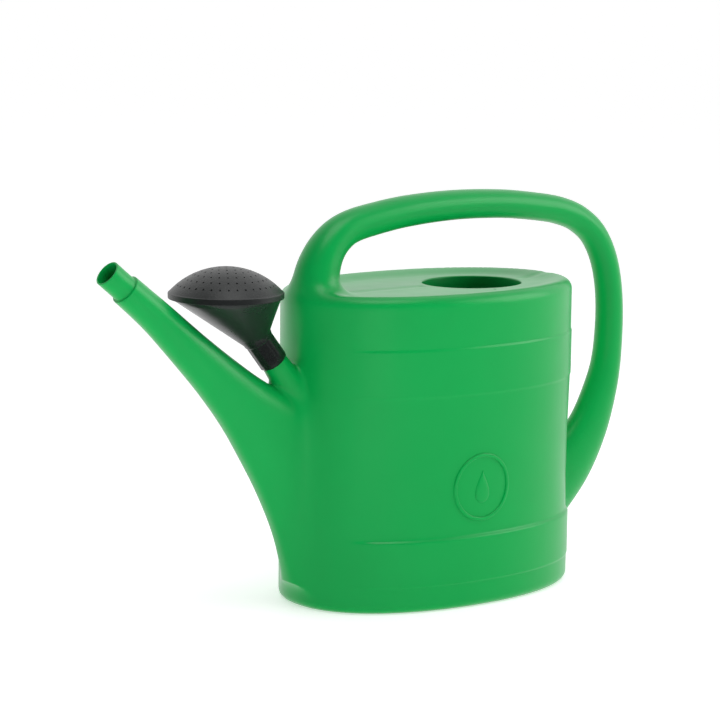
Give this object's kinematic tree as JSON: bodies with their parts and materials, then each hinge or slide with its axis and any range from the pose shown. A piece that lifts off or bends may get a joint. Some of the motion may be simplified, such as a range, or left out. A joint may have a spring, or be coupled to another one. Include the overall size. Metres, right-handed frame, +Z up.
{
  "type": "watering can",
  "caption": "Oval-bodied garden watering can with a long tapering spout, a loop handle over the top and a domed sprinkler rose stored on a peg.",
  "frame": {"origin": "middle of the tank's base, on the ground", "axes": "+Z up along the tank, the spout points to -X, the handle closes at +X, and the XZ plane is the plane of symmetry"},
  "size_m": [0.5573, 0.183, 0.351],
  "materials": {
    "can_plastic": "satin moulded polyethylene, green",
    "rose_plastic": "fine-grained moulded polypropylene, near black"
  },
  "bodies": {
    "can": {"tank_base": "can_plastic", "tank_wall": "can_plastic", "tank_top": "can_plastic", "spout": "can_plastic", "nozzle": "can_plastic", "handle_front_post": "can_plastic", "handle_grip": "can_plastic", "handle_rear_leg": "can_plastic", "rose_peg": "can_plastic"},
    "rose": {"rose_funnel": "rose_plastic"},
    "rose_front": {"rose_face": "rose_plastic"}
  },
  "joints": [
    {"name": "rose_lift", "type": "slide", "parent": "can", "child": "rose", "axis": [-0.6157, 0, 0.788], "range_m": [0, 0.09]},
    {"name": "rose_face_lift", "type": "slide", "parent": "rose", "child": "rose_front", "axis": [0, 0, 1], "range_m": [0, 0.03]}
  ]
}
